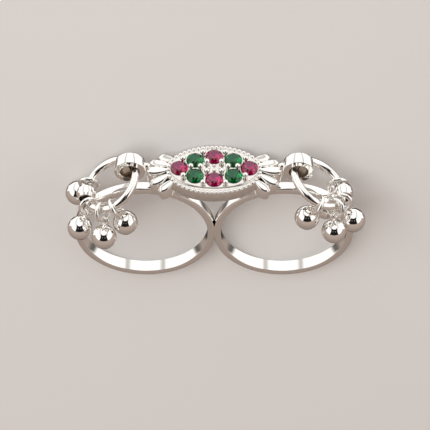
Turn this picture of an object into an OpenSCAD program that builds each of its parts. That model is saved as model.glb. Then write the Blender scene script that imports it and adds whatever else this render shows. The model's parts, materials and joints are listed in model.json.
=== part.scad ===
// Two-finger ring in polished silver with ruby and emerald stones.
//
// Two finger bands are soldered side by side. They carry a raised oval head:
// a beaded rim, eight round stones in shared prongs and five leaf petals at
// each end. Past the petals a short barrel bail holds a loose wire hoop, and
// a barrel bead and four ball drops on jump rings are threaded on each hoop.
//
// The shapes are worked out with the ring upright: X runs along the head, Y
// to the back of the hand and Z from the fingers up to the head. lying() then
// turns every node onto its back, as the ring rests on a table, and sets the
// lowest points on Z = 0. Left is the side of negative X on the upright ring.

/* [Finger bands] */
// Inner diameter of each finger band
finger_d = 17.3; // [16.7:0.1:17.5]
// Radial thickness of the bands
band_t = 0.97; // [0.9:0.01:1.05]
// Width of the bands at the palm side
band_w_low = 1.87; // [1.7:0.01:2.1]
// Width of the bands under the head
band_w_top = 1.42; // [1.3:0.01:1.6]
// Height over which the two bands are soldered together
join_h = 2.3; // [2:0.1:2.8]

/* [Head] */
// Gap between the tops of the bands and the head
head_gap = 1.6; // [1.5:0.1:1.8]
// Half the length of the oval plate
plate_a = 6.4; // [6.35:0.01:6.5]
// Half the width of the oval plate
plate_b = 4.08; // [4.05:0.01:4.2]
// Height of the oval plate's side wall
plate_h = 1.7; // [1.5:0.05:1.8]
// Number of beads along the rim
rim_beads = 50; // [46:2:50]
// Diameter of a rim bead
rim_bead_d = 0.6; // [0.54:0.02:0.6]

/* [Stones] */
// Girdle diameter of every stone
stone_d = 2.38; // [2.2:0.02:2.38]
// Height of the crown above the girdle
crown_h = 0.46; // [0.4:0.02:0.5]
// Depth of the pavilion below the girdle
pavilion_h = 1; // [0.9:0.02:1.05]
// Table width as a share of the girdle
table_share = 0.58; // [0.52:0.01:0.62]

/* [Petals] */
// Width of a petal
petal_w = 1.3; // [1.2:0.01:1.35]
// Height of a petal's ridge above the plate's rim
petal_rise = 0.2; // [0.15:0.01:0.3]

/* [Bails] */
// Distance of each bail from the middle of the ring
bail_x = 11.2; // [11.15:0.01:11.3]
// Outer diameter of a bail at its widest place, near its front
bail_d = 4.2; // [4.1:0.02:4.3]
// Length of a bail
bail_l = 1.92; // [1.8:0.02:1.92]
// Hole diameter of a bail
bail_hole = 2.52; // [2.52:0.02:2.56]

/* [Hoops and drops] */
// Mean radius of a hoop
hoop_r = 3.85; // [3.83:0.01:3.88]
// Wire diameter of a hoop
hoop_w = 1.05; // [1:0.01:1.05]
// Angle by which a hoop slopes down and outward
hoop_tilt = 32.5; // [32:0.1:33]
// Mean radius of a jump ring
link_r = 1.2; // [1.19:0.01:1.25]
// Wire diameter of a jump ring
link_w = 0.55; // [0.5:0.01:0.56]
// Diameter of a ball drop
ball_d = 3.3; // [3.1:0.05:3.35]

/* [Hidden] */
$fn = 48;
// How far soldered pieces reach into each other
weld = 0.1;

finger_r = finger_d / 2;
band_r = finger_r + band_t;
band_x = sqrt(band_r * band_r - join_h * join_h / 4);

plate_z = band_r + head_gap;
rim_z = plate_z + plate_h;

rim_inset = 0.23;
rim_even = 6.8;

// The raised field that the stones are set in, almost up to their girdles
field_inset = [0.45, 0.83];
field_rise = 0.38;
field_z = rim_z + field_rise;

girdle_z = field_z + 0.07;
girdle_t = 0.06;
seat_gap = 0.045;
// Place of the corners between table and girdle, and of those between
// girdle and culet, as shares
star_rise = 0.62;
main_r = 0.42;
main_drop = 0.62;
// Centres of the right-hand stones, from the middle of the plate
end_x = 4.68;
green_at = [2.56, 1.345];
red_y = 1.945;
// Prongs of the right-hand half, shared between neighbours
prong_at = [[0.97, 0.8], [0.97, -0.8], [4.2, 1.35], [4.12, -1.55], [1.5, 2.42], [1.5, -2.76],
    [1.85, 0], [3.12, 0]];
prong_d = 0.46;
prong_ball_d = 0.78;
prong_root = 0.2;
prong_z = girdle_z + 0.4;
// Grains between the middle prongs
grain_at = [[0, 0.42], [0, -0.42], [0.74, 0], [-0.74, 0]];
grain_d = 0.56;

// Roots and tips of the right-hand petals, from the back one to the middle,
// and by how many degrees each slopes down to its tip
petal_rows = [[[5.2, 1.6], [7.4, 3.02], 15], [[5.9, 0.75], [8.6, 1.87], 11], [[6, 0], [9.15, 0], 1]];
petal_edge_drop = 0.34;
petal_foot = plate_z - 0.6;
petal_steps = 20;

// The saddles that carry the head, hidden under the plate
saddle_x = [3.4, 6.2];
saddle_w = 1.3;
saddle_foot = 7.4;

bail_z = rim_z + 1;
bail_bulge = 4.4;
// How far the middle of a bail, and its widest place, lie in front of the hoop
bail_front = 0.2;
bail_wide = 0.55;
// The short bar that joins a bail to the end petal
bar_d = 0.95;
bar_x = [9, 9.7];
bar_at = [0.5, rim_z + 0.25];

// Where round the hoop its bail is, how far the wire lies inward of the
// bail's middle there, and how far each hoop is turned to raise its front
hoop_thread = 149.5;
hoop_seat = 0.23;
HOOP_TURN = [-2, 5.5];
hoop_out = [cos(hoop_tilt), 0, -sin(hoop_tilt)];
hoop_up = [sin(hoop_tilt), 0, cos(hoop_tilt)];

bead_angle = 3;
bead_d = 2.6;
bead_hole = 1.8;
bead_l = 1.8;
bead_bulge = 1.6;
bead_shift = 0.15;

link_gap = 0.06;
loop_r = 0.53;
loop_w = 0.36;
cap_d = 1.1;
cap_h = 0.5;
// From a jump ring's wire to the loop of its drop, and from the loop to the
// middle of the ball
loop_at = loop_r - (loop_w + link_w) / 2 - link_gap;
ball_at = loop_r + (cap_h + ball_d) / 2;
// Each drop's place round its hoop in degrees, 0 outward and 90 to the back,
// the way its ball hangs as outward, back and up, and the place round the hoop
// that its jump ring is square to: the fourth hangs close behind the barrel bead
DROPS_LEFT = [
    [-28, [0.37, -0.29, -0.88], -28],
    [-69, [0.07, -0.4, -0.91], -69],
    [-98, [-0.23, 0.02, -0.97], -98],
    [27, [0.45, 0.3, -0.84], 8]
];
DROPS_RIGHT = [
    [-21, [0.43, -0.03, -0.9], -21],
    [-50, [0.04, -0.24, -0.97], -50],
    [-95, [-0.27, 0.13, -0.95], -95],
    [24, [-0.35, -0.8, -0.49], 6]
];

function unit(v) = v / norm(v);
// Points of an oval. A few degrees of even spread them evenly along its line
function oval(a, b, n, even = 0) =
    [for (i = [0:n - 1]) let (angle = 360 * i / n + even * sin(720 * i / n)) [a * cos(angle), b * sin(angle)]];
function hoop_back(left) =
    let (turn = HOOP_TURN[left ? 0 : 1]) cos(turn) * [0, 1, 0] - sin(turn) * hoop_up;
// From the middle of a hoop to its wire, and the way the wire runs there
function spoke(left, angle) = hoop_r * (cos(angle) * hoop_out + sin(angle) * hoop_back(left));
function wire_way(left, angle) = cos(angle) * hoop_back(left) - sin(angle) * hoop_out;
function hoop_middle(left) = [bail_x, 0, bail_z] - hoop_seat * hoop_out - spoke(left, hoop_thread);
// A jump ring hangs in its own plane, and its drop may swing out of that plane
function link_way(left, row) =
    let (ball_way = unit(row[1]), axis = wire_way(left, row[2])) unit(ball_way - (ball_way * axis) * axis);
// From the hoop's wire to the middle of a jump ring
function link_at(row) = link_r - link_w / 2 - hoop_w / 2 / cos(row[2] - row[0]) - link_gap;
function link_middle(left, row) =
    hoop_middle(left) + spoke(left, row[0]) + link_at(row) * link_way(left, row);
function loop_middle(left, row) =
    link_middle(left, row) + link_r * link_way(left, row) + loop_at * unit(row[1]);
function ball_reach(left, rows) =
    max([for (row = rows) loop_middle(left, row)[0] + ball_at * unit(row[1])[0]]) + ball_d / 2;

// The resting pose: the plate's back edge and the bands' lower back edges
// touch the table
lie = atan((plate_b - band_w_low / 2) / (plate_z + band_r));
lift = band_w_low / 2 * cos(lie) + band_r * sin(lie);
reach_low = band_r * cos(lie) + band_w_low / 2 * sin(lie);
reach_top = (bail_z + bail_d / 2 - bail_bulge) * cos(lie) - bail_wide * sin(lie) + bail_bulge;
reach_left = ball_reach(true, DROPS_LEFT);
reach_right = ball_reach(false, DROPS_RIGHT);

STONES = ["ruby_left", "ruby_right", "ruby_back", "ruby_front", "emerald_back_left",
    "emerald_back_right", "emerald_front_left", "emerald_front_right"];
STONE_AT = [[-end_x, 0], [end_x, 0], [0, red_y], [0, -red_y],
    [-green_at[0], green_at[1]], green_at, -green_at, [green_at[0], -green_at[1]]];

// Turns a shape of the upright ring onto its back and sets it on the table
module lying() {
    translate([(reach_right - reach_left) / 2, (reach_top - reach_low) / 2, lift])
        rotate([lie - 90, 0, 180])
            children();
}

// Repeats a shape at both ends of the ring
module both_ends() {
    children();
    mirror([1, 0, 0]) children();
}

// A short tube with a bulging outside along Z, widest at a height
module barrel(d, hole, length, bulge, wide = 0) {
    rotate_extrude()
        intersection() {
            translate([d / 2 - bulge, wide]) circle(bulge);
            translate([hole / 2, -length / 2]) square([d, length]);
        }
}

// A round wire ring about Z
module wire_ring(r, w) {
    rotate_extrude() translate([r, 0]) circle(w / 2);
}

// The outside of both bands, narrower towards the head
module band_blank() {
    half_low = band_w_low / 2;
    half_top = band_w_top / 2;
    intersection() {
        both_ends() translate([band_x, band_w_low, 0]) rotate([90, 0, 0]) cylinder(r = band_r, h = 2 * band_w_low);
        rotate([90, 0, 90])
            translate([0, 0, -3 * band_r])
                linear_extrude(6 * band_r)
                    polygon([[-half_low, -band_r], [half_low, -band_r], [half_top, band_r], [-half_top, band_r]]);
    }
}

// The part of a band's ring that a finger passes through
module finger_bores() {
    both_ends() translate([band_x, plate_b, 0]) rotate([90, 0, 0]) cylinder(r = finger_r, h = 2 * plate_b);
}

// Two blocks from the bands up to the plate
module saddles() {
    both_ends()
        translate([saddle_x[0], -saddle_w / 2, saddle_foot])
            cube([saddle_x[1] - saddle_x[0], saddle_w, plate_z + weld - saddle_foot]);
}

// The oval plate with its raised field, seats cut for the stones
module plate() {
    difference() {
        union() {
            translate([0, 0, plate_z]) linear_extrude(plate_h) polygon(oval(plate_a, plate_b, 60));
            translate([0, 0, rim_z - weld]) linear_extrude(field_rise + weld)
                polygon(oval(plate_a - field_inset[0], plate_b - field_inset[1], 60));
        }
        for (at = STONE_AT)
            translate([at[0], at[1], girdle_z - pavilion_h - seat_gap])
                cylinder(r1 = seat_gap, r2 = stone_d / 2 + seat_gap, h = pavilion_h + seat_gap);
    }
}

module rim() {
    for (at = oval(plate_a - rim_inset, plate_b - rim_inset, rim_beads, rim_even))
        translate([at[0], at[1], rim_z]) sphere(d = rim_bead_d);
}

module prong(at) {
    translate([at[0], at[1], field_z - prong_root]) cylinder(d = prong_d, h = prong_z - field_z + prong_root);
    translate([at[0], at[1], prong_z]) sphere(d = prong_ball_d);
}

module prongs() {
    both_ends()
        for (at = prong_at) prong(at);
    for (at = grain_at) translate([at[0], at[1], field_z]) sphere(d = grain_d);
}

// One side of a leaf's outline from its root to its tip, fullest past its middle
function leaf_side(length) =
    [for (i = [0:petal_steps])
        let (u = i / petal_steps) [length * u, petal_w / 2 * 1.47 * pow(u, 0.55) * sqrt(1 - pow(u, 3.2))]];
function leaf(length) =
    let (side = leaf_side(length))
        concat(side, [for (i = [petal_steps - 1:-1:1]) [side[i][0], -side[i][1]]]);

// One leaf with a ridge along its top, sloping down from its root to its tip
module petal(root, tip, slope) {
    length = norm(tip - root);
    ridge_z = rim_z + petal_rise;
    translate([root[0], root[1], 0])
        rotate(atan2(tip[1] - root[1], tip[0] - root[0]))
            intersection() {
                translate([0, 0, petal_foot]) linear_extrude(ridge_z + weld - petal_foot) polygon(leaf(length));
                translate([0, 0, ridge_z]) rotate([0, slope, 0]) rotate([90, 0, 90])
                    translate([0, 0, -length])
                        linear_extrude(3 * length)
                            polygon([[-petal_w, -2 * petal_w - plate_h], [petal_w, -2 * petal_w - plate_h],
                                [petal_w, -2 * petal_edge_drop], [0, 0], [-petal_w, -2 * petal_edge_drop]]);
            }
}

module petals() {
    both_ends()
        for (row = petal_rows) {
            petal(row[0], row[1], row[2]);
            if (row[1][1] > 0) mirror([0, 1, 0]) petal(row[0], row[1], row[2]);
        }
}

// The barrel at each end that a hoop hangs in, with the bar that holds it
module bails() {
    both_ends() {
        translate([bail_x, -bail_front, bail_z]) rotate([90, 0, 0])
            barrel(bail_d, bail_hole, bail_l, bail_bulge, bail_wide - bail_front);
        translate([bar_x[0], bar_at[0], bar_at[1]]) {
            rotate([0, 90, 0]) cylinder(d = bar_d, h = bar_x[1] - bar_x[0]);
            sphere(d = bar_d);
        }
    }
}

// Everything that is soldered together
module ring_frame() {
    color("silver") lying() {
        difference() {
            union() {
                band_blank();
                saddles();
            }
            finger_bores();
        }
        plate();
        rim();
        prongs();
        petals();
        bails();
    }
}

// A brilliant: table, stars, kites and halves above the girdle, mains below
module brilliant() {
    r = stone_d / 2;
    steps = [0:7];
    fine = [0:15];
    function at(radius, angle, z) = [radius * cos(angle), radius * sin(angle), z];
    table = [for (i = steps) at(r * table_share, 45 * i, crown_h + girdle_t)];
    star = [for (i = steps) at(r * (1 + table_share) / 2, 45 * i + 22.5, crown_h * star_rise + girdle_t)];
    top = [for (i = fine) at(r, 22.5 * i, girdle_t)];
    low = [for (i = fine) at(r, 22.5 * i, 0)];
    mains = [for (i = steps) at(r * main_r, 45 * i + 22.5, -pavilion_h * main_drop)];
    faces = concat(
        [[for (i = steps) 7 - i]],
        [for (i = steps) [i, (i + 1) % 8, 8 + i]],
        [for (i = steps) [i, 8 + i, 16 + 2 * i]],
        [for (i = steps) [i, 16 + 2 * i, 8 + (i + 7) % 8]],
        [for (i = steps) [8 + i, 16 + 2 * i + 1, 16 + 2 * i]],
        [for (i = steps) [8 + i, 16 + (2 * i + 2) % 16, 16 + 2 * i + 1]],
        [for (i = fine) [16 + i, 16 + (i + 1) % 16, 32 + (i + 1) % 16]],
        [for (i = fine) [16 + i, 32 + (i + 1) % 16, 32 + i]],
        [for (i = steps) [32 + 2 * i, 32 + 2 * i + 1, 48 + i]],
        [for (i = steps) [32 + 2 * i + 1, 32 + (2 * i + 2) % 16, 48 + i]],
        [for (i = steps) [32 + 2 * i, 48 + i, 56]],
        [for (i = steps) [32 + 2 * i, 56, 48 + (i + 7) % 8]]
    );
    polyhedron(concat(table, star, top, low, mains, [[0, 0, -pavilion_h]]), faces);
}

module stone(index) {
    at = STONE_AT[index];
    color(index < 4 ? "crimson" : "seagreen")
        lying() translate([at[0], at[1], girdle_z]) rotate(22.5) brilliant();
}

// Sets a shape made for the right-hand end on either side
module on_side(left) {
    lying() mirror([left ? 1 : 0, 0, 0]) children();
}

// Moves a shape to a place, its X and Z axes along the given ways
module in_frame(place, x, z) {
    y = cross(z, x);
    multmatrix([
        [x[0], y[0], z[0], place[0]],
        [x[1], y[1], z[1], place[1]],
        [x[2], y[2], z[2], place[2]],
        [0, 0, 0, 1]])
        children();
}

// Moves a shape onto a hoop: X outward, Z across the hoop
module on_hoop(left) {
    in_frame(hoop_middle(left), hoop_out, cross(hoop_out, hoop_back(left))) children();
}

module hoop(left) {
    color("silver") on_side(left) on_hoop(left) wire_ring(hoop_r, hoop_w);
}

module hoop_bead(left) {
    color("silver") on_side(left) on_hoop(left)
        rotate(bead_angle) translate([hoop_r + bead_shift, 0, 0]) rotate([90, 0, 0])
            barrel(bead_d, bead_hole, bead_l, bead_bulge);
}

module jump_ring(left, index) {
    row = left ? DROPS_LEFT[index] : DROPS_RIGHT[index];
    color("silver") on_side(left)
        in_frame(link_middle(left, row), -link_way(left, row), wire_way(left, row[2]))
            wire_ring(link_r, link_w);
}

// A ball with a cap and a loop that is threaded on its jump ring
module ball_drop(left, index) {
    row = left ? DROPS_LEFT[index] : DROPS_RIGHT[index];
    up = -unit(row[1]);
    color("silver") on_side(left)
        in_frame(loop_middle(left, row), unit(cross(wire_way(left, row[2]), link_way(left, row))), up) {
            rotate([0, 90, 0]) wire_ring(loop_r, loop_w);
            translate([0, 0, -loop_r - cap_h]) cylinder(d1 = cap_d, d2 = loop_w, h = cap_h);
            translate([0, 0, -ball_at]) sphere(d = ball_d);
        }
}

ring_frame();
for (i = [0:7])
    stone(i);
hoop(true);  // hoop_left
hoop(false);  // hoop_right
hoop_bead(true);  // hoop_bead_left
hoop_bead(false);  // hoop_bead_right
for (i = [0:3]) {
    jump_ring(true, i);
    jump_ring(false, i);
    ball_drop(true, i);
    ball_drop(false, i);
}
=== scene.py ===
# %% [markdown]
# # A two-finger ring in silver, ruby and emerald
# Two finger bands carry an oval head with eight stones, and a loose hoop with ball drops hangs at each
# end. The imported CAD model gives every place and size. This script dresses it: each solid of metal is
# modelled again with round edges, and the cut stones keep their CAD facets and get a gem's material.

import json
import math

import bmesh
import bpy
from mathutils import Matrix, Vector


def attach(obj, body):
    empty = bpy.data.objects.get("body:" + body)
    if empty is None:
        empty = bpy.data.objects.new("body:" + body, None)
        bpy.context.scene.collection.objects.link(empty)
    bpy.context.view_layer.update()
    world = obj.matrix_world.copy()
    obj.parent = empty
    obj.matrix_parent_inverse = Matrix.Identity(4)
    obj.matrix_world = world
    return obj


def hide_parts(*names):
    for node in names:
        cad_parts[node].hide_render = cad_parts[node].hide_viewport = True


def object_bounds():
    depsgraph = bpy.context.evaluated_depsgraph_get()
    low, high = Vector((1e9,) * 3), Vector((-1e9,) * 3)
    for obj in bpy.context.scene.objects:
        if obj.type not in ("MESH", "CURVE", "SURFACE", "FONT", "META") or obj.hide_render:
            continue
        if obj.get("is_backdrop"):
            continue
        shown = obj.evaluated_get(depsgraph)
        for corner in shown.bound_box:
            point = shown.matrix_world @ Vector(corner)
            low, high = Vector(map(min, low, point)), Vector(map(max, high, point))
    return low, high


MM = 0.001
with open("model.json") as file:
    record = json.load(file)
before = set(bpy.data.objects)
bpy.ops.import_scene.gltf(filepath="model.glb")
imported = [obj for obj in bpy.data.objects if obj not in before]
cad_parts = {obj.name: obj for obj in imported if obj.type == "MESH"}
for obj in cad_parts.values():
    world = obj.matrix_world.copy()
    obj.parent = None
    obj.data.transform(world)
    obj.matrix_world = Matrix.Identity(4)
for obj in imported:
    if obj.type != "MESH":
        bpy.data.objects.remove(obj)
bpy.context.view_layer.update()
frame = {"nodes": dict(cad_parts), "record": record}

# %% [markdown]
# ## The upright frame
# The ring lies on its back, but its shapes are easier to say with the ring upright: X along the head, Y
# to the back of the hand and Z from the fingers up. The two finger holes give that frame: their middles
# lie on X, and their common axis is Y. One matrix then carries any shape in millimetres to its place.

# %% The matrix from upright millimetres to the table
holes = {mount["name"]: mount for mount in frame["record"]["mounts"]}
hole_left = Vector(holes["finger_hole_left"]["pos_m"])
hole_right = Vector(holes["finger_hole_right"]["pos_m"])
to_right = (hole_right - hole_left).normalized()
to_back = Vector(holes["finger_hole_left"]["axis"]).normalized()
to_top = to_right.cross(to_back)
turn = Matrix((to_right, to_back, to_top)).transposed()
upright = Matrix.LocRotScale((hole_left + hole_right) / 2, turn, (MM, MM, MM))
band_x = (hole_right - hole_left).length / MM / 2
finger_r = holes["finger_hole_left"]["dims"]["r_mm"]
print("finger holes", round(2 * band_x, 3), "mm apart, radius", finger_r)

# %% [markdown]
# ## Camera
# A product photo is taken from far away through a long lens, which keeps both ends of the ring the same
# size. This camera looks down at the upright ring by 52 degrees from 300 mm away. The ring lies on its
# back, so the camera is above the table and the picture's top edge points along the table.

# %% Camera
LOOK_AT = Vector((0.1, 0, 3.08))
LOOK_DOWN = math.radians(52.4)
CAMERA_AWAY = 300
LENS = 183.4

look_way = turn @ Vector((0, math.cos(LOOK_DOWN), -math.sin(LOOK_DOWN)))
picture_up = turn @ Vector((0, math.sin(LOOK_DOWN), math.cos(LOOK_DOWN)))
camera = bpy.data.objects.new("camera", bpy.data.cameras.new("camera"))
camera.data.lens = LENS
camera.data.clip_start = 0.01
camera_place = upright @ LOOK_AT - look_way * CAMERA_AWAY * MM
camera_turn = Matrix((look_way.cross(picture_up), picture_up, -look_way)).transposed()
camera.matrix_world = Matrix.Translation(camera_place) @ camera_turn.to_4x4()
bpy.context.scene.collection.objects.link(camera)
bpy.context.scene.camera = camera
bpy.context.scene.view_settings.view_transform = "Standard"
print("camera height above the table in mm:", round(camera.location.z / MM, 1))

# %% [markdown]
# ## Nodes
# Shaders are built from small nodes. Four helpers keep that short: one makes a node and sets its inputs,
# one does a sum, one fades softly from 0 to 1 between two values, and one mixes two colours.

# %% Node helpers
def add_node(tree, kind, inputs=None, **settings):
    """Makes a node, sets its properties and sets or links its inputs."""
    made = tree.nodes.new(kind)
    for name, value in settings.items():
        setattr(made, name, value)
    for name, value in (inputs or {}).items():
        if isinstance(value, bpy.types.NodeSocket):
            tree.links.new(value, made.inputs[name])
        else:
            made.inputs[name].default_value = value
    return made


def sum_node(tree, operation, first, second=0.0):
    """One step of arithmetic."""
    return add_node(tree, "ShaderNodeMath", {0: first, 1: second}, operation=operation).outputs[0]


def fade(tree, value, low, high):
    """0 below low and 1 above high, with a soft step between."""
    made = add_node(tree, "ShaderNodeMapRange", {"Value": value, "From Min": low, "From Max": high},
                    interpolation_type="SMOOTHSTEP")
    return made.outputs["Result"]


def blend_node(tree, share, first, second):
    """Mixes two colours."""
    made = add_node(tree, "ShaderNodeMix", {"Factor": share}, data_type="RGBA")
    for socket, colour in ((made.inputs[6], first), (made.inputs[7], second)):
        if isinstance(colour, bpy.types.NodeSocket):
            tree.links.new(colour, socket)
        else:
            socket.default_value = (*colour, 1)
    return made.outputs[2]


# %% [markdown]
# ## Studio light
# Polished silver shows its surroundings more than its own colour, and lamps alone would leave it black
# and white in the wrong places. So the world shader paints a small studio by direction, as seen from
# the upright ring: a white tent above, a dark opening for the lens in front, and a warm ground below.
# Each direction is told by three values: how far it points to a side, its height above the horizon,
# and its angle round from the front, the same to both sides.

# %% Directions in the studio
world = bpy.data.worlds.new("studio")
world.use_nodes = True
bpy.context.scene.world = world
room = world.node_tree
room.nodes.clear()
way = add_node(room, "ShaderNodeTexCoord").outputs["Generated"]


def along(axis):
    """How far the looked-at direction points along an axis of the upright ring."""
    made = add_node(room, "ShaderNodeVectorMath", {0: way, 1: tuple(axis)}, operation="DOT_PRODUCT")
    return made.outputs["Value"]


def below(value, limit, soft):
    """1 where the value lies below a limit."""
    return sum_node(room, "SUBTRACT", 1.0, fade(room, value, limit - soft, limit + soft))


def between(value, low, high, soft):
    """1 where the value lies between two limits."""
    return sum_node(room, "MULTIPLY", fade(room, value, low - soft, low + soft), below(value, high, soft))


to_side = sum_node(room, "ABSOLUTE", along(to_right))
height = sum_node(room, "ARCSINE", along(to_top))
side = sum_node(room, "ABSOLUTE", sum_node(room, "ARCTAN2", along(to_right), along(-to_back)))
print("world nodes for the directions:", len(room.nodes))

# %% [markdown]
# Tent and ground meet at a soft line. Towards the back the ground mirrors the tent, so the white reaches
# lower there.

# %% Tent and ground
ROOM_WHITE = (1.0, 0.985, 0.965)
GROUND_NEAR = (0.40, 0.32, 0.28)
GROUND_FAR = (0.26, 0.21, 0.18)
GROUND_DEPTH = (-1.3, 0.1)
HORIZON = math.radians(9)
HORIZON_BACK = math.radians(-24)
BACK_FADE = (0.1, 0.55)
SOFT = math.radians(2.5)

ground = blend_node(room, fade(room, height, *GROUND_DEPTH), GROUND_FAR, GROUND_NEAR)
drop = sum_node(room, "MULTIPLY", fade(room, along(to_back), *BACK_FADE), HORIZON - HORIZON_BACK)
over_ground = fade(room, sum_node(room, "ADD", height, drop), HORIZON - SOFT, HORIZON + SOFT)
colour = blend_node(room, over_ground, ground, ROOM_WHITE)
print("white from", round(math.degrees(HORIZON)), "degrees in front and",
      round(math.degrees(HORIZON_BACK)), "behind")

# %% [markdown]
# The opening is narrower at its top, and two small dim lamps show in it. Each ball mirrors it as a dark
# spot with two dots.

# %% Opening and lamps
ROOM_DARK = (0.012, 0.010, 0.009)
OPENING_TOP = math.radians(66)
OPENING_HALF = 0.69
OPENING_TAPER = 0.29
OPENING_SOFT = 0.03
FRONT_FADE = (0.0, 0.1)
GLOW_GREY = (0.22, 0.215, 0.21)
GLOW_HEIGHT = math.radians(44)
GLOW_SIDE = math.radians(16)
GLOW_SIZE = math.radians(4)
GLOW_TALL = 1.4 * GLOW_SIZE

tapered = sum_node(room, "ADD", to_side, sum_node(room, "MULTIPLY", along(to_top), OPENING_TAPER))
opening = sum_node(room, "MULTIPLY", between(height, HORIZON, OPENING_TOP, SOFT),
                   below(tapered, OPENING_HALF, OPENING_SOFT))
opening = sum_node(room, "MULTIPLY", opening, fade(room, along(-to_back), *FRONT_FADE))
glows = sum_node(room, "MULTIPLY", between(height, GLOW_HEIGHT - GLOW_TALL, GLOW_HEIGHT + GLOW_TALL, SOFT),
                 between(side, GLOW_SIDE - GLOW_SIZE, GLOW_SIDE + GLOW_SIZE, SOFT))
print("opening up to", round(math.degrees(OPENING_TOP)), "degrees")

# %% [markdown]
# The tent's cloth has a grey fold along each side of its top, and a dark stand shows low in each back
# corner. Straight behind the ring lies its own shade, which draws a thin dark line along the top of
# each ball and wire. The layers are then laid over each other, the opening and its lamps last.

# %% Folds, stands and shade
FOLD_GREY = (0.52, 0.50, 0.48)
FOLD = (0.54, 0.76)
FOLD_SOFT = 0.1
FOLD_FRONT = (-0.5, -0.2)
STAND_DARK = (0.12, 0.11, 0.10)
STAND_SIDE = (math.radians(122), math.radians(140))
STAND_HEIGHT = (math.radians(-27), math.radians(-12))
SHADE_DARK = (0.06, 0.05, 0.045)
SHADE_SIDE = math.radians(146)
SHADE_TOP = math.radians(-4)
ROOM_STRENGTH = 1.15

overhead = sum_node(room, "MAXIMUM", along(to_top), 0.001)
fold = sum_node(room, "MULTIPLY", between(sum_node(room, "DIVIDE", to_side, overhead), *FOLD, FOLD_SOFT),
                fade(room, along(to_back), *FOLD_FRONT))
stand = sum_node(room, "MULTIPLY", between(side, *STAND_SIDE, 2 * SOFT),
                 between(height, *STAND_HEIGHT, 2 * SOFT))
shade = sum_node(room, "MULTIPLY", below(height, SHADE_TOP, SOFT),
                 fade(room, side, SHADE_SIDE - 2 * SOFT, SHADE_SIDE + 2 * SOFT))
for share, tone in ((shade, SHADE_DARK), (fold, FOLD_GREY), (stand, STAND_DARK), (opening, ROOM_DARK),
                    (glows, GLOW_GREY)):
    colour = blend_node(room, share, colour, tone)
sky = add_node(room, "ShaderNodeBackground", {"Color": colour, "Strength": ROOM_STRENGTH})
room_out = add_node(room, "ShaderNodeOutputWorld")
room.links.new(sky.outputs[0], room_out.inputs["Surface"])
print("world nodes:", len(room.nodes))

# %% [markdown]
# ## Floor
# The ring rests on a plain pale floor. It is far larger than the ring, so its edge never shows. Its two
# tones are mixed by a soft noise, which keeps it from looking like one flat colour.

# %% Floor
FLOOR_REACH = 3.0
FLOOR_TONES = ((0.80, 0.78, 0.768), (0.85, 0.83, 0.818))
FLOOR_CLOUD = 9.0
FLOOR_ROUGH = 0.55
FLOOR_SHINE = 0.25


def noise_node(tree, scale, detail, stretch=(1, 1, 1)):
    """Noise that reads the object's own coordinates, so that it stays on the surface."""
    place = add_node(tree, "ShaderNodeTexCoord").outputs["Object"]
    place = add_node(tree, "ShaderNodeMapping", {"Vector": place, "Scale": stretch}).outputs["Vector"]
    return add_node(tree, "ShaderNodeTexNoise",
                    {"Vector": place, "Scale": scale, "Detail": detail}).outputs["Fac"]


def new_material(name):
    """An empty material, its tree and its main shader."""
    material = bpy.data.materials.new(name)
    material.use_nodes = True
    return material, material.node_tree, material.node_tree.nodes["Principled BSDF"]


floor_paint, tree, shader = new_material("pale_floor")
floor_tone = blend_node(tree, noise_node(tree, FLOOR_CLOUD, 4.0), *FLOOR_TONES)
tree.links.new(floor_tone, shader.inputs["Base Color"])
shader.inputs["Roughness"].default_value = FLOOR_ROUGH
shader.inputs["Specular IOR Level"].default_value = FLOOR_SHINE

floor_mesh = bmesh.new()
bmesh.ops.create_grid(floor_mesh, x_segments=1, y_segments=1, size=FLOOR_REACH)
floor_data = bpy.data.meshes.new("floor")
floor_mesh.to_mesh(floor_data)
floor_mesh.free()
floor = bpy.data.objects.new("floor", floor_data)
floor.data.materials.append(floor_paint)
bpy.context.scene.collection.objects.link(floor)
floor.visible_glossy = False
floor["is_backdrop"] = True
print("floor reaches", FLOOR_REACH, "m to each side")

# %% [markdown]
# The floor is lit by the painted room and by one large soft lamp above. The silver mirrors the painted
# room in every direction, so neither the floor nor the lamp is shown to mirror rays.

# %% Soft lamp
LAMP_WAY = Vector((-0.35, -0.62, 0.70))
LAMP_AWAY = 900
LAMP_POWER = 5.0
LAMP_SPAN = 0.7
lamp = bpy.data.objects.new("soft_lamp", bpy.data.lights.new("soft_lamp", "AREA"))
lamp.data.size = LAMP_SPAN
lamp.data.energy = LAMP_POWER
lamp.data.color = ROOM_WHITE
lamp_way = turn @ LAMP_WAY.normalized()
lamp_turn = lamp_way.to_track_quat("Z", "Y").to_matrix().to_4x4()
lamp.matrix_world = Matrix.Translation(lamp_way * LAMP_AWAY * MM) @ lamp_turn
lamp.visible_glossy = False
bpy.context.scene.collection.objects.link(lamp)
print("lamp height above the table in mm:", round(lamp.location.z / MM))

# %% [markdown]
# ## Polished silver
# Silver has no colour of its own but a faint warmth, so its look comes from a metallic shader that is
# almost a mirror. Hand polishing leaves soft clouds where the mirror is a little duller, and very fine
# lines. One noise drives the tone and the roughness, and a finer one gives a very low bump. Two more
# grades follow: the cast seat of the stones, which no polisher reaches, duller and with darker tones that
# also paint the shade among its stones and beads; and a dark grade inside small holes, which paints the
# shade there along with some tarnish.

# %% Silver
BRIGHT_TONES = ((0.955, 0.935, 0.905), (0.975, 0.96, 0.935))
# The cast tones are darker partly to paint the shade among the plate's stones and beads.
CAST_AND_SHADE_TONES = ((0.74, 0.71, 0.67), (0.93, 0.905, 0.875))
# The dark tones paint the shade inside small holes, along with some tarnish.
SHADE_AND_TARNISH_TONES = ((0.20, 0.15, 0.11), (0.42, 0.34, 0.27))
CLOUD_SPAN = (0.3, 0.7)
LINE_SCALE = 9000.0
LINE_STRETCH = (1, 0.25, 1)
LINE_HIGH = 0.01


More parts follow.
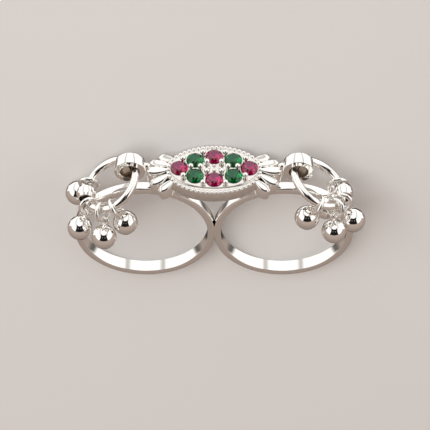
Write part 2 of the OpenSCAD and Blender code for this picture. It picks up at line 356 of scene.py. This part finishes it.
def silver(name, tones, rough, cloud, lines):
    """A metal: tones and roughness from a cloud of a size, and fine lines of a strength."""
    material, tree, shader = new_material(name)
    cloud_noise = noise_node(tree, cloud, 3.0)
    tree.links.new(blend_node(tree, cloud_noise, *tones), shader.inputs["Base Color"])
    dull = add_node(tree, "ShaderNodeMapRange",
                    {"Value": cloud_noise, "From Min": CLOUD_SPAN[0], "From Max": CLOUD_SPAN[1],
                     "To Min": rough[0], "To Max": rough[1]})
    tree.links.new(dull.outputs["Result"], shader.inputs["Roughness"])
    shader.inputs["Metallic"].default_value = 1.0
    line_noise = noise_node(tree, LINE_SCALE, 2.0, LINE_STRETCH)
    bump = add_node(tree, "ShaderNodeBump",
                    {"Height": line_noise, "Strength": lines, "Distance": LINE_HIGH * MM})
    tree.links.new(bump.outputs["Normal"], shader.inputs["Normal"])
    return material


bright_silver = silver("bright_silver", BRIGHT_TONES, (0.03, 0.06), 900.0, 0.02)
# The cast grade's darker tones partly paint the shade on the stone plate.
cast_and_shade_silver = silver("cast_and_shade_silver", CAST_AND_SHADE_TONES, (0.12, 0.24), 1500.0, 0.3)
# The dark grade paints the shade inside small holes, along with some tarnish.
shade_and_tarnish_silver = silver("shade_and_tarnish_silver", SHADE_AND_TARNISH_TONES, (0.22, 0.4), 1200.0, 0.2)
print("metals:", bright_silver.name, cast_and_shade_silver.name, shade_and_tarnish_silver.name)

# %% [markdown]
# ## Making a piece
# Every piece is modelled in upright millimetres as a bmesh. The helper below closes it: doubles are
# merged, the faces are turned outwards, and the mesh is carried to the table with the matrix above, so
# that the object itself stays at the origin. A piece with flat faces is given even shading, which keeps
# its narrow rounded edges from bending the light on the faces beside them.

# %% Piece helpers
MERGE = 0.0004
SHARP = math.radians(40)


def make_piece(name, mesh, metals, node, even=False):
    """Closes a mesh, carries it to the table and makes it a piece that stands for a CAD node."""
    bmesh.ops.remove_doubles(mesh, verts=mesh.verts, dist=MERGE)
    bmesh.ops.recalc_face_normals(mesh, faces=mesh.faces)
    bmesh.ops.transform(mesh, matrix=upright, verts=mesh.verts)
    data = bpy.data.meshes.new(name)
    mesh.to_mesh(data)
    mesh.free()
    data.shade_smooth()
    data.set_sharp_from_angle(angle=SHARP)
    for metal in metals:
        data.materials.append(metal)
    piece = bpy.data.objects.new(name, data)
    bpy.context.scene.collection.objects.link(piece)
    if even:
        piece.modifiers.new("even shading", "WEIGHTED_NORMAL").keep_sharp = True
    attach(piece, "root")
    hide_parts(node)
    print(name, len(data.polygons), "faces")


def whole(mesh):
    """Everything in a mesh, as the operators want it."""
    return mesh.verts[:] + mesh.edges[:] + mesh.faces[:]


# %% [markdown]
# ## Finger bands
# A band starts as flat strip, bent round a mandrel and soldered, and the two bands are soldered side by
# side. A rectangle with rounded corners is spun round the finger hole, and the width then tapers
# towards the head. Only the right band is spun: it is cut where the bands meet, and mirrored.

# %% Sizes of a band
BAND_T = 0.97
BAND_W_LOW = 1.87
BAND_W_TOP = 1.42
OUTER_EDGE = 0.28
INNER_EDGE = 0.08
EDGE_STEPS = 5
BAND_STEPS = 180
band_r = finger_r + BAND_T
band_middle = finger_r + BAND_T / 2
strip = Matrix.Translation((band_middle, 0, 0)) @ Matrix.Diagonal((BAND_T, BAND_W_LOW, 1, 1))


def band_half(height_z):
    """Half the band's width at a height."""
    share = (height_z + band_r) / (2 * band_r)
    return (BAND_W_LOW + (BAND_W_TOP - BAND_W_LOW) * share) / 2


print("band width in mm:", BAND_W_LOW, "at the palm,", round(2 * band_half(finger_r), 2), "under the head")

# %% Finger bands
bands = bmesh.new()
bmesh.ops.create_grid(bands, x_segments=1, y_segments=1, size=0.5, matrix=strip)
outer = [vert for vert in bands.verts if vert.co.x > band_middle]
inner = [vert for vert in bands.verts if vert not in outer]
for corners, edge in ((outer, OUTER_EDGE), (inner, INNER_EDGE)):
    bmesh.ops.bevel(bands, geom=corners, offset=edge, segments=EDGE_STEPS, profile=0.5, affect="VERTICES",
                    material=-1)
bmesh.ops.delete(bands, geom=bands.faces[:], context="FACES_ONLY")
bmesh.ops.spin(bands, geom=bands.verts[:] + bands.edges[:], cent=(0, 0, 0), axis=(0, 1, 0), dvec=(0, 0, 0),
               angle=math.tau, steps=BAND_STEPS, use_merge=True)
for vert in bands.verts:
    vert.co.y *= band_half(vert.co.z) / (BAND_W_LOW / 2)
bmesh.ops.translate(bands, verts=bands.verts, vec=(band_x, 0, 0))
bmesh.ops.bisect_plane(bands, geom=whole(bands), dist=0.0001, plane_co=(0, 0, 0), plane_no=(-1, 0, 0),
                       clear_outer=True)
bmesh.ops.mirror(bands, geom=whole(bands), axis="X", merge_dist=0.002)
make_piece("finger_bands", bands, [bright_silver], "ring_frame", even=True)

# %% [markdown]
# ## Oval plate
# The head was cast as an oval dish with a raised field for the stones. Ovals are stacked at different
# heights and bridged into walls, which gives a rounded foot, an edge for the beads, a shallow channel
# and the step up to the field. Each list below says how far its ovals are inset, and at what height.

# %% Stacked ovals
PLATE_A = 6.4
PLATE_B = 4.08
PLATE_H = 1.7
HEAD_GAP = 1.6
FIELD_RISE = 0.38
FIELD_INSET = (0.45, 0.83)
CHANNEL_INSET = (0.3, 0.32)
OVAL_STEPS = 144
plate_z = band_r + HEAD_GAP
rim_z = plate_z + PLATE_H
field_z = rim_z + FIELD_RISE
field_a = PLATE_A - FIELD_INSET[0]
field_b = PLATE_B - FIELD_INSET[1]
PLATE_FOOT = [(0.14, plate_z), (0.04, plate_z + 0.04), (0, plate_z + 0.14)]
PLATE_RIM = [(0, rim_z - 0.1), (0.03, rim_z - 0.03), (0.1, rim_z)]
FIELD_FOOT = [(-0.03, rim_z + 0.16), (0, rim_z + 0.19)]
FIELD_EDGE = [(0, field_z - 0.07), (0.02, field_z - 0.02), (0.07, field_z)]

levels = [(PLATE_A - inset, PLATE_B - inset, z) for inset, z in PLATE_FOOT + PLATE_RIM]
levels += [(PLATE_A - CHANNEL_INSET[0], PLATE_B - CHANNEL_INSET[1], rim_z + 0.01)]
levels += [(field_a - inset, field_b - inset, z) for inset, z in FIELD_FOOT + FIELD_EDGE]
plate = bmesh.new()
rows = []
for a, b, z in levels:
    oval = Matrix.Translation((0, 0, z)) @ Matrix.Diagonal((a, b, 1, 1))
    made = bmesh.ops.create_circle(plate, segments=OVAL_STEPS, radius=1, matrix=oval)
    rows.append(list({edge for vert in made["verts"] for edge in vert.link_edges}))
for low, high in zip(rows, rows[1:]):
    bmesh.ops.bridge_loops(plate, edges=low + high)
for row in (rows[0], rows[-1]):
    bmesh.ops.contextual_create(plate, geom=row)
print("plate from", round(plate_z, 2), "to", round(field_z, 2), "mm above the middle of the finger holes")

# %% [markdown]
# A jeweller cuts each seat with a cone-shaped burr until the stone sits in it up to its girdle. A
# Boolean modifier cuts the same cones out of the plate, which is simpler than modelling eight pits.

# %% Places of the stones
STONE_R = 1.19
PAVILION_H = 1.0
SEAT_GAP = 0.045
END_X = 4.68
GREEN_AT = (2.56, 1.345)
RED_Y = 1.945
GIRDLE_RISE = 0.07
BURR_STEPS = 48
girdle_z = field_z + GIRDLE_RISE
SEATS = [(side_x * END_X, 0) for side_x in (-1, 1)] + [(0, side_y * RED_Y) for side_y in (-1, 1)]
SEATS += [(side_x * GREEN_AT[0], side_y * GREEN_AT[1]) for side_x in (-1, 1) for side_y in (-1, 1)]
print("seats:", len(SEATS))


# %% Cutting with a Boolean modifier
def cut(body, cutter):
    """Cuts one mesh out of another with a Boolean modifier and returns what is left."""
    objects = []
    for label, mesh in (("body", body), ("cutter", cutter)):
        data = bpy.data.meshes.new(label)
        bmesh.ops.recalc_face_normals(mesh, faces=mesh.faces)
        mesh.to_mesh(data)
        mesh.free()
        objects.append(bpy.data.objects.new(label, data))
        bpy.context.scene.collection.objects.link(objects[-1])
    modifier = objects[0].modifiers.new("cut", "BOOLEAN")
    modifier.operation = "DIFFERENCE"
    modifier.object = objects[1]
    modifier.solver = "EXACT"
    left = bmesh.new()
    left.from_object(objects[0], bpy.context.evaluated_depsgraph_get())
    for made in objects:
        data = made.data
        bpy.data.objects.remove(made)
        bpy.data.meshes.remove(data)
    return left


# %% Seats for the stones
burr_h = PAVILION_H + SEAT_GAP
burrs = bmesh.new()
for seat_x, seat_y in SEATS:
    place = Matrix.Translation((seat_x, seat_y, girdle_z - burr_h / 2))
    bmesh.ops.create_cone(burrs, cap_ends=True, segments=BURR_STEPS, radius1=SEAT_GAP,
                          radius2=STONE_R + SEAT_GAP, depth=burr_h, matrix=place)
# The plate gets the cast grade, whose darker tones partly paint its shade.
make_piece("stone_plate", cut(plate, burrs), [cast_and_shade_silver], "ring_frame", even=True)

# %% [markdown]
# ## Supports under the head
# The plate hides how the head is carried. Two plain blocks from the bands up to the plate stand in for
# it, as in the CAD, with their edges taken off so that they catch light where they show from below. The
# finger holes are cut through them. Most of the ring is alike on both sides, so from here on a piece
# is said once, for the right side, and a mirror matrix gives the left one.

# %% Supports
SIDES = {"left": Matrix.Diagonal((-1, 1, 1, 1)), "right": Matrix.Identity(4)}
SADDLE_X = (3.4, 6.2)
SADDLE_W = 1.3
SADDLE_FOOT = 7.4
SADDLE_EDGE = 0.12
SADDLE_SUNK = 0.05
BORE_GAP = 0.05
BORE_DEPTH = 4
BORE_STEPS = 96
saddle_top = plate_z + SADDLE_SUNK
bore_r = finger_r + BORE_GAP
saddle_middle = Matrix.Translation((sum(SADDLE_X) / 2, 0, (SADDLE_FOOT + saddle_top) / 2))
saddle_size = Matrix.Diagonal((SADDLE_X[1] - SADDLE_X[0], SADDLE_W, saddle_top - SADDLE_FOOT, 1))
SIDEWAYS = Matrix.Rotation(math.pi / 2, 4, "X")

supports = bmesh.new()
bores = bmesh.new()
for mirror in SIDES.values():
    bmesh.ops.create_cube(supports, size=1, matrix=mirror @ saddle_middle @ saddle_size)
    bmesh.ops.create_cone(bores, cap_ends=True, segments=BORE_STEPS, radius1=bore_r, radius2=bore_r,
                          depth=BORE_DEPTH, matrix=mirror @ Matrix.Translation((band_x, 0, 0)) @ SIDEWAYS)
bmesh.ops.bevel(supports, geom=supports.edges[:], offset=SADDLE_EDGE, segments=3, profile=0.5, affect="EDGES",
                material=-1)
make_piece("head_supports", cut(supports, bores), [bright_silver], "ring_frame", even=True)

# %% [markdown]
# ## Rim beads
# Round grains are raised along the rim with a hollow tool, so they are all alike and almost touch. One
# small sphere is made for each and sits half in the plate's edge. Equal angles would crowd them at the
# oval's ends, so each angle is shifted a little to space them evenly along the line.

# %% Rim beads
RIM_BEADS = 50
RIM_BEAD_D = 0.6
RIM_INSET = 0.23
RIM_EVEN = math.radians(6.8)
GRAIN_STEPS = {"u_segments": 20, "v_segments": 14}
beads = bmesh.new()
for step in range(RIM_BEADS):
    angle = math.tau * step / RIM_BEADS
    angle += RIM_EVEN * math.sin(2 * angle)
    place = ((PLATE_A - RIM_INSET) * math.cos(angle), (PLATE_B - RIM_INSET) * math.sin(angle), rim_z)
    bmesh.ops.create_uvsphere(beads, radius=RIM_BEAD_D / 2, matrix=Matrix.Translation(place), **GRAIN_STEPS)
make_piece("rim_beads", beads, [bright_silver], "ring_frame")

# %% [markdown]
# ## Prongs and grains
# Each prong is a wire whose end was melted to a ball and pushed over the stones beside it. A profile of
# wire and ball is spun round the prong's own axis. The grains in the middle are balls set in the field.

# %% Profiles to spin
def spin_profile(mesh, profile, matrix, steps):
    """Spins a line of (radius, height) points round Z and sets the shape with a matrix."""
    points = [mesh.verts.new((radius, 0, z)) for radius, z in profile]
    lines = [mesh.edges.new(pair) for pair in zip(points, points[1:])]
    bmesh.ops.spin(mesh, geom=points + lines, cent=(0, 0, 0), axis=(0, 0, 1), dvec=(0, 0, 0),
                   angle=math.tau, steps=steps, use_merge=True)
    verts = {vert for line in lines for vert in line.verts}
    grown = set(verts)
    while verts:
        verts = {edge.other_vert(vert) for vert in verts for edge in vert.link_edges} - grown
        grown |= verts
    bmesh.ops.transform(mesh, matrix=matrix, verts=list(grown))


def arc(radius, middle_z, start, end, steps):
    """Points of (radius, height) on an arc about the axis, angles in degrees from the equator."""
    angles = [math.radians(start + (end - start) * i / steps) for i in range(steps + 1)]
    return [(max(radius * math.cos(a), 0), middle_z + radius * math.sin(a)) for a in angles]


# %% Prongs and grains
PRONGS = [(0.97, 0.8), (0.97, -0.8), (4.2, 1.35), (4.12, -1.55), (1.5, 2.42), (1.5, -2.76), (1.85, 0),
          (3.12, 0)]
GRAINS = [(0, 0.42), (0, -0.42), (0.74, 0), (-0.74, 0)]
PRONG_D = 0.46
PRONG_BALL_D = 0.78
PRONG_RISE = 0.4
PRONG_ROOT = 0.1
GRAIN_D = 0.56
prong_z = girdle_z + PRONG_RISE
prong_foot = field_z - prong_z - PRONG_ROOT

neck = math.degrees(math.acos(PRONG_D / PRONG_BALL_D))
prong = [(0, prong_foot), (PRONG_D / 2, prong_foot)] + arc(PRONG_BALL_D / 2, 0, -neck, 90, 12)
prongs = bmesh.new()
for x, y in PRONGS:
    for mirror in SIDES.values():
        spin_profile(prongs, prong, mirror @ Matrix.Translation((x, y, prong_z)), 24)
for x, y in GRAINS:
    place = Matrix.Translation((x, y, field_z))
    bmesh.ops.create_uvsphere(prongs, radius=GRAIN_D / 2, matrix=place, **GRAIN_STEPS)
make_piece("prongs_and_grains", prongs, [bright_silver], "ring_frame")

# %% [markdown]
# ## Petals
# Five cast leaves fan out at each end, fullest past their middle, with a soft ridge along the top and a
# plain wall below. A grid is laid along the leaf, and its width follows a curve that rises fast at the
# root and closes round the tip. The top slopes down to the tip and rolls over at the edge. Its rim is
# then drawn down to the foot, a little inwards, as a casting is.

# %% Outline of a leaf
PETAL_ROWS = [((5.2, 1.6), (7.4, 3.02), 15), ((5.9, 0.75), (8.6, 1.87), 11), ((6, 0), (9.15, 0), 1)]
PETAL_ROWS += [((a[0], -a[1]), (b[0], -b[1]), slope) for a, b, slope in PETAL_ROWS[:2]]
PETAL_W = 1.3
PETAL_FULL = 1.47
PETAL_ROOT_POWER = 0.55
PETAL_TIP_POWER = 3.2
PETAL_RISE = 0.2
PETAL_ROOF = 0.08
PETAL_ROOF_POWER = 1.4
PETAL_ROLL = 0.24
PETAL_SIDE_POWER = 6
PETAL_END_POWER = 16
PETAL_DRAFT = 0.93
PETAL_DEPTH = 0.6
petal_foot = plate_z - PETAL_DEPTH


def petal_half(share):
    """Half the leaf's width at a share of its length."""
    closing = math.sqrt(max(1 - share ** PETAL_TIP_POWER, 0))
    return PETAL_W / 2 * PETAL_FULL * share ** PETAL_ROOT_POWER * closing


print("leaf width in mm:", [round(2 * petal_half(step / 4), 2) for step in range(5)])


# %% Petals
def add_petal(mesh, root, tip, slope, mirror):
    """One leaf from its root to its tip."""
    root, tip = Vector((*root, 0)), Vector((*tip, 0))
    length = (tip - root).length
    top = bmesh.ops.create_grid(mesh, x_segments=28, y_segments=16, size=1)["verts"]
    for vert in top:
        share = math.sin((vert.co.x + 1) * math.pi / 4)
        across = vert.co.y
        half = petal_half(share)
        ridge = PETAL_ROOF * abs(across) ** PETAL_ROOF_POWER * 2 * half / PETAL_W
        edge = 1 - (1 - abs(across) ** PETAL_SIDE_POWER) * (1 - share ** PETAL_END_POWER)
        fall = length * share * math.tan(math.radians(slope))
        vert.co = (length * share, across * half, rim_z + PETAL_RISE - fall - ridge - PETAL_ROLL * edge)
    rim = [edge for edge in mesh.edges if edge.is_boundary and edge.verts[0] in set(top)]
    wall = bmesh.ops.extrude_edge_only(mesh, edges=rim)
    low = [item for item in wall["geom"] if isinstance(item, bmesh.types.BMVert)]
    for vert in low:
        vert.co = (vert.co.x * PETAL_DRAFT, vert.co.y * PETAL_DRAFT, petal_foot)
    foot = [edge for edge in mesh.edges if edge.is_boundary and edge.verts[0] in set(low)]
    bmesh.ops.contextual_create(mesh, geom=foot)
    aim = math.atan2(tip.y - root.y, tip.x - root.x)
    bmesh.ops.transform(mesh, verts=top + low,
                        matrix=mirror @ Matrix.Translation(root) @ Matrix.Rotation(aim, 4, "Z"))


petals = bmesh.new()
for mirror in SIDES.values():
    for root, tip, slope in PETAL_ROWS:
        add_petal(petals, root, tip, slope, mirror)
make_piece("petals", petals, [bright_silver], "ring_frame", even=True)

# %% [markdown]
# ## Bails
# A bail is a short bulging tube that the hoop hangs in, widest near its front. Its profile is an arc
# outside and a straight hole inside, spun round the tube's axis, and its back edge is rounder than its
# front edge. One more ring of points close beside each edge keeps the shading of the end faces flat. A
# short bar joins the bail to the end petal.

# %% Barrels
HOLE_EDGE = 0.04
EDGE_HOLD = 0.02
HOLE_SHADE_MARGIN = 0.06
EDGE_TURNS = (0.3, 0.6, 0.9, 1.25, math.pi / 2)
HOLE_TURNS = (0, 0.8, math.pi / 2)


def barrel_profile(diameter, hole, length, bulge, edges, wide=0):
    """Closed profile of a bulging tube, as (radius, height) points, with its back and front edges rounded."""
    points = []
    for sign, edge in zip((-1, 1), edges):
        tip = sign * length / 2
        end = math.degrees(math.asin((tip - sign * edge - wide) / bulge))
        line = [(r + diameter / 2 - bulge, z) for r, z in arc(bulge, wide, 0, end, 8)]
        end_r = line[-1][0]
        line += [(end_r - edge * (1 - math.cos(t)), tip - sign * edge * (1 - math.sin(t)))
                 for t in EDGE_TURNS]
        line += [(end_r - edge - EDGE_HOLD, tip), (hole / 2 + HOLE_EDGE + EDGE_HOLD, tip)]
        line += [(hole / 2 + HOLE_EDGE * (1 - math.sin(t)), tip - sign * HOLE_EDGE * (1 - math.cos(t)))
                 for t in HOLE_TURNS]
        points += line if sign > 0 else list(reversed(line))[:-1]
    return points + points[:1]


def paint_hole_shade(mesh, place, radius):
    """Gives the faces inside a hole about the place's Z axis the second material, the painted shade."""
    back = place.inverted()
    for face in mesh.faces:
        if (back @ face.calc_center_median()).xy.length < radius + HOLE_SHADE_MARGIN:
            face.material_index = 1


# %% Bails and bars
BAIL_X = 11.2
BAIL_D = 4.2
BAIL_L = 1.92
BAIL_HOLE = 2.52
BAIL_BULGE = 4.4
BAIL_EDGES = (0.3, 0.06)
BAIL_FRONT = 0.2
BAIL_WIDE = 0.55
BAIL_RISE = 1
BAR_D = 0.95
BAR_X = (9, 9.7)
BAR_Y = 0.5
BAR_RISE = 0.25
bail_z = rim_z + BAIL_RISE
bar_z = rim_z + BAR_RISE
bar_length = BAR_X[1] - BAR_X[0]
ALONG_X = Matrix.Rotation(math.pi / 2, 4, "Y")

bail_line = barrel_profile(BAIL_D, BAIL_HOLE, BAIL_L, BAIL_BULGE, BAIL_EDGES, BAIL_WIDE - BAIL_FRONT)
bar_line = [(0, -BAR_D / 2)] + arc(BAR_D / 2, 0, -80, 0, 8) + [(BAR_D / 2, bar_length), (0, bar_length)]
for label, mirror in SIDES.items():
    bail = bmesh.new()
    place = mirror @ Matrix.Translation((BAIL_X, -BAIL_FRONT, bail_z)) @ SIDEWAYS
    spin_profile(bail, bail_line, place, 64)
    # The inside of the bail's hole gets the dark grade, which paints its shade.
    paint_hole_shade(bail, place, BAIL_HOLE / 2)
    spin_profile(bail, bar_line, mirror @ Matrix.Translation((BAR_X[0], BAR_Y, bar_z)) @ ALONG_X, 24)
    make_piece("bail_" + label, bail, [bright_silver, shade_and_tarnish_silver], "ring_frame", even=True)

# %% [markdown]
# ## Hoops
# Each hoop is a round wire closed through its bail. It slopes down and outward, so its frame is built
# from the way outward and the way to the back. A small circle is spun round the hoop's axis.

# %% The hoops' frame
HOOP_R = 3.85
HOOP_W = 1.05
HOOP_TILT = math.radians(32.5)
HOOP_TURN = {"left": math.radians(-2), "right": math.radians(5.5)}
HOOP_THREAD = math.radians(149.5)
HOOP_SEAT = 0.23
hoop_out = Vector((math.cos(HOOP_TILT), 0, -math.sin(HOOP_TILT)))
hoop_up = Vector((math.sin(HOOP_TILT), 0, math.cos(HOOP_TILT)))


def hoop_back(label):
    """The hoop's way to the back."""
    return math.cos(HOOP_TURN[label]) * Vector((0, 1, 0)) - math.sin(HOOP_TURN[label]) * hoop_up


def spoke(label, angle):
    """From the hoop's middle to its wire."""
    return HOOP_R * (math.cos(angle) * hoop_out + math.sin(angle) * hoop_back(label))


def wire_way(label, angle):
    """The way the wire runs at an angle round the hoop."""
    return math.cos(angle) * hoop_back(label) - math.sin(angle) * hoop_out


def hoop_middle(label):
    """Where the hoop's middle is."""
    return Vector((BAIL_X, 0, bail_z)) - HOOP_SEAT * hoop_out - spoke(label, HOOP_THREAD)


def frame_at(place, x, z):
    """The matrix that sets a shape at a place, its X and Z axes along the given ways."""
    x, z = Vector(x).normalized(), Vector(z).normalized()
    return Matrix.Translation(place) @ Matrix((x, z.cross(x), z)).transposed().to_4x4()


def hoop_frame(label):
    """The hoop's own frame, with X outward and Z along its axis."""
    return frame_at(hoop_middle(label), hoop_out, hoop_out.cross(hoop_back(label)))


print("middle of the right hoop, upright, in mm:", [round(v, 2) for v in hoop_middle("right")])


# %% Hoops
def add_wire_ring(mesh, radius, wire, matrix, steps, round_steps):
    """A ring of round wire about Z: a small circle spun round the ring's middle."""
    made = bmesh.ops.create_circle(mesh, segments=round_steps, radius=wire / 2,
                                   matrix=Matrix.Translation((radius, 0, 0)) @ SIDEWAYS)
    edges = list({edge for vert in made["verts"] for edge in vert.link_edges})
    before = set(mesh.verts) - set(made["verts"])
    bmesh.ops.spin(mesh, geom=made["verts"] + edges, cent=(0, 0, 0), axis=(0, 0, 1), dvec=(0, 0, 0),
                   angle=math.tau, steps=steps, use_merge=True)
    bmesh.ops.transform(mesh, matrix=matrix, verts=[vert for vert in mesh.verts if vert not in before])


for label, mirror in SIDES.items():
    wire = bmesh.new()
    add_wire_ring(wire, HOOP_R, HOOP_W, mirror @ hoop_frame(label), 128, 32)
    make_piece("hoop_wire_" + label, wire, [bright_silver], "hoop_" + label)

# %% [markdown]
# ## Barrel beads
# A bulging bead slides on each hoop, beside the drops. It is a small barrel like the bail, turned to
# stand along the wire, and hangs outwards on it by the play of its hole.

# %% Barrel beads
BEAD_ANGLE = math.radians(3)
BEAD_D = 2.6
BEAD_HOLE = 1.8
BEAD_L = 1.8
BEAD_BULGE = 1.6
BEAD_EDGES = (0.08, 0.08)
BEAD_SHIFT = 0.15
bead_line = barrel_profile(BEAD_D, BEAD_HOLE, BEAD_L, BEAD_BULGE, BEAD_EDGES)
on_wire = Matrix.Rotation(BEAD_ANGLE, 4, "Z") @ Matrix.Translation((HOOP_R + BEAD_SHIFT, 0, 0)) @ SIDEWAYS
for label, mirror in SIDES.items():
    place = mirror @ hoop_frame(label) @ on_wire
    bead = bmesh.new()
    spin_profile(bead, bead_line, place, 48)
    # The inside of the bead's hole gets the dark grade, which paints its shade.
    paint_hole_shade(bead, place, BEAD_HOLE / 2)
    make_piece("barrel_bead_" + label, bead, [bright_silver, shade_and_tarnish_silver], "hoop_bead_" + label, even=True)

# %% [markdown]
# ## Jump rings and ball drops
# Four drops hang on each hoop: a jump ring round the wire, and a hollow ball with a cap and a loop
# threaded on it. The table gives each drop's place round its hoop, the way its ball hangs, and the place
# round the hoop that its jump ring is square to. The fourth ring hangs close behind the barrel bead.

# %% Sizes and places of the drops
LINK_R = 1.2
LINK_W = 0.55
LINK_GAP = 0.06
LOOP_R = 0.53
LOOP_W = 0.36
CAP_D = 1.1
CAP_H = 0.5
CAP_LIP = 0.08
CAP_SLOPE = 0.12
NECK_H = 0.16
NECK_FLARE = 0.06
BALL_D = 3.3
DROPS = {
    "left": [(-28, (0.37, -0.29, -0.88), -28), (-69, (0.07, -0.4, -0.91), -69),
             (-98, (-0.23, 0.02, -0.97), -98), (27, (0.45, 0.3, -0.84), 8)],
    "right": [(-21, (0.43, -0.03, -0.9), -21), (-50, (0.04, -0.24, -0.97), -50),
              (-95, (-0.27, 0.13, -0.95), -95), (24, (-0.35, -0.8, -0.49), 6)],
}
loop_at = LOOP_R - (LOOP_W + LINK_W) / 2 - LINK_GAP
ball_at = LOOP_R + (CAP_H + BALL_D) / 2
cap_foot = -LOOP_R - CAP_H
cap_line = [(0, cap_foot), (CAP_D / 2, cap_foot), (CAP_D / 2, cap_foot + CAP_LIP),
            (CAP_D / 2 - CAP_SLOPE, cap_foot + 2 * CAP_LIP), (LOOP_W / 2 + NECK_FLARE, -LOOP_R - NECK_H),
            (LOOP_W / 2, -LOOP_R), (0, -LOOP_R)]
print("drops:", {label: len(row) for label, row in DROPS.items()})


# %% Jump rings and ball drops
def add_drop(label, mirror, number, angle, ball_way, square_to):
    """One jump ring on the hoop and the ball drop that hangs on it."""
    along_wire = wire_way(label, square_to)
    hang = (ball_way - ball_way.dot(along_wire) * along_wire).normalized()
    link_at = LINK_R - LINK_W / 2 - HOOP_W / 2 / math.cos(square_to - angle) - LINK_GAP
    link_middle = hoop_middle(label) + spoke(label, angle) + link_at * hang
    loop_middle = link_middle + LINK_R * hang + loop_at * ball_way
    link = bmesh.new()
    add_wire_ring(link, LINK_R, LINK_W, mirror @ frame_at(link_middle, -hang, along_wire), 64, 20)
    make_piece(f"link_{label}_{number}", link, [bright_silver], f"jump_ring_{label}_{number}")
    drop = bmesh.new()
    place = mirror @ frame_at(loop_middle, along_wire.cross(hang), -ball_way)
    add_wire_ring(drop, LOOP_R, LOOP_W, place @ ALONG_X, 40, 16)
    spin_profile(drop, cap_line, place, 32)
    bmesh.ops.create_uvsphere(drop, u_segments=64, v_segments=40, radius=BALL_D / 2,
                              matrix=place @ Matrix.Translation((0, 0, -ball_at)))
    make_piece(f"ball_{label}_{number}", drop, [bright_silver], f"ball_drop_{label}_{number}")


for label, mirror in SIDES.items():
    for number, (angle, ball_way, square_to) in enumerate(DROPS[label], 1):
        add_drop(label, mirror, number, math.radians(angle), Vector(ball_way).normalized(),
                 math.radians(square_to))

# %% [markdown]
# ## Gems
# A cut stone bends light inside and throws it back through the table, so its colour comes from depth.
# The CAD stones have real facets, and a clear coloured shader does the rest. A faint cloud in the colour
# stands for the silk of a natural stone. The flat table throws back more light than the facets round it,
# so the colour turns paler and less clear above a height in the stone's own coordinates.

# %% Gem materials
GIRDLE_T = 0.06
CROWN_H = 0.46
TABLE_SKIN = 0.015
TABLE_FADE = 0.01
TABLE_CLEAR = 0.7
GEM_CLOUD = 1400.0
GEM_ROUGH = 0.01
GEM_SHINE = 0.3
skin_z = girdle_z + GIRDLE_T + CROWN_H - TABLE_SKIN
skin_level = (upright @ Vector((0, 0, skin_z))).dot(to_top)


def gem(name, deep, table, index):
    """A coloured stone: two tones for its depth, one for its table, and how much it bends light."""
    material, tree, shader = new_material(name)
    spot = add_node(tree, "ShaderNodeTexCoord").outputs["Object"]
    level = add_node(tree, "ShaderNodeVectorMath", {0: spot, 1: tuple(to_top)}, operation="DOT_PRODUCT")
    on_table = fade(tree, level.outputs["Value"], skin_level, skin_level + TABLE_FADE * MM)
    colour = blend_node(tree, noise_node(tree, GEM_CLOUD, 3.0), *deep)
    tree.links.new(blend_node(tree, on_table, colour, table), shader.inputs["Base Color"])
    opaque = sum_node(tree, "MULTIPLY", on_table, 1 - TABLE_CLEAR)
    tree.links.new(sum_node(tree, "SUBTRACT", 1.0, opaque), shader.inputs["Transmission Weight"])
    shader.inputs["Roughness"].default_value = GEM_ROUGH
    shader.inputs["IOR"].default_value = index
    shader.inputs["Specular IOR Level"].default_value = GEM_SHINE
    return material


ruby = gem("ruby", ((0.22, 0.0, 0.03), (0.38, 0.0, 0.08)), (0.55, 0.03, 0.22), 1.77)
emerald = gem("emerald", ((0.0, 0.09, 0.018), (0.0, 0.19, 0.045)), (0.01, 0.27, 0.12), 1.58)
print("gems:", ruby.name, emerald.name)

# %% [markdown]
# The stones are the CAD nodes themselves. The metal nodes are hidden behind the pieces above, and still
# get the silver, so that no node is left without a material.

# %% Materials of the CAD nodes
for name, node in frame["nodes"].items():
    node.data.materials.clear()
    if name.startswith("ruby"):
        node.data.materials.append(ruby)
    elif name.startswith("emerald"):
        node.data.materials.append(emerald)
    else:
        node.data.materials.append(bright_silver)
print("nodes that show:", [name for name, node in frame["nodes"].items() if not node.hide_render])

# %% [markdown]
# ## Sizes
# Dressing the ring mustn't change its size, so the box of the dressed one is printed.

# %% Sizes and finish
low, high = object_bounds()
print("visual box in mm:", [round(v / MM, 2) for v in high - low])
